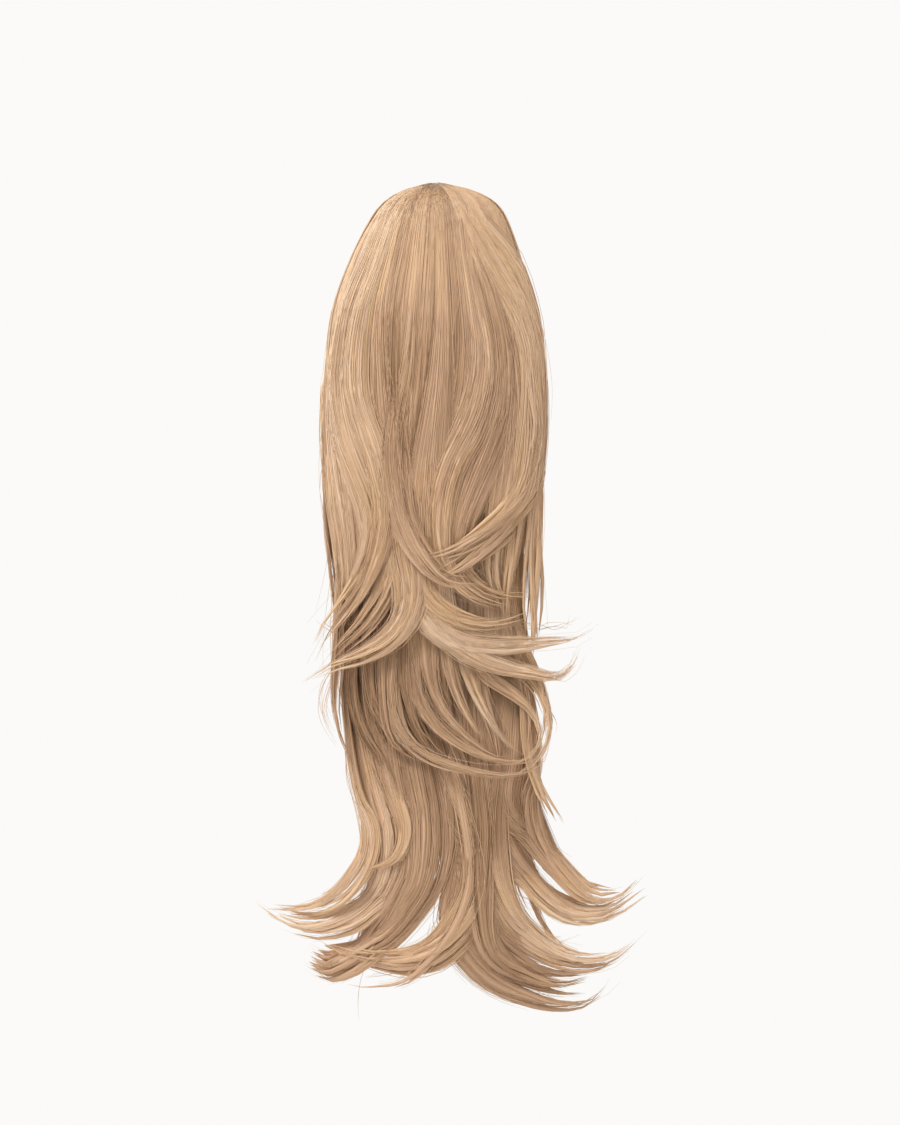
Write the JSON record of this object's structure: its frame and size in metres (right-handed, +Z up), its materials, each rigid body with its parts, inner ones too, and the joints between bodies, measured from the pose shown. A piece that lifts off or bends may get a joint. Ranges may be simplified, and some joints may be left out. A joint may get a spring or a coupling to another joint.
{
  "type": "ponytail hair extension",
  "caption": "Layered, waved ponytail hairpiece sewn round an oval net cap with an inner comb, hanging as worn, with upturned flicked ends.",
  "frame": {"origin": "middle of the net cap's mouth, where the hairpiece sits over a pinned-up bun", "axes": "+Z up along the hanging hair, +Y into the wearer's head, -Y towards the viewer of the picture"},
  "size_m": [0.2296, 0.0731, 0.5012],
  "materials": {
    "net": "open knitted net with a stitched elastic hem, matt",
    "comb": "semi-clear beige moulded plastic",
    "outer_hair": "waved synthetic hair, caramel and beige blonde strands, soft satin sheen",
    "inner_hair": "waved synthetic hair, slightly deeper golden brown strands, soft satin sheen"
  },
  "bodies": {
    "root": {"net_cap": "net", "comb": "comb", "crown_tier": "outer_hair", "middle_tier": "outer_hair", "long_tier": "inner_hair"}
  },
  "joints": []
}
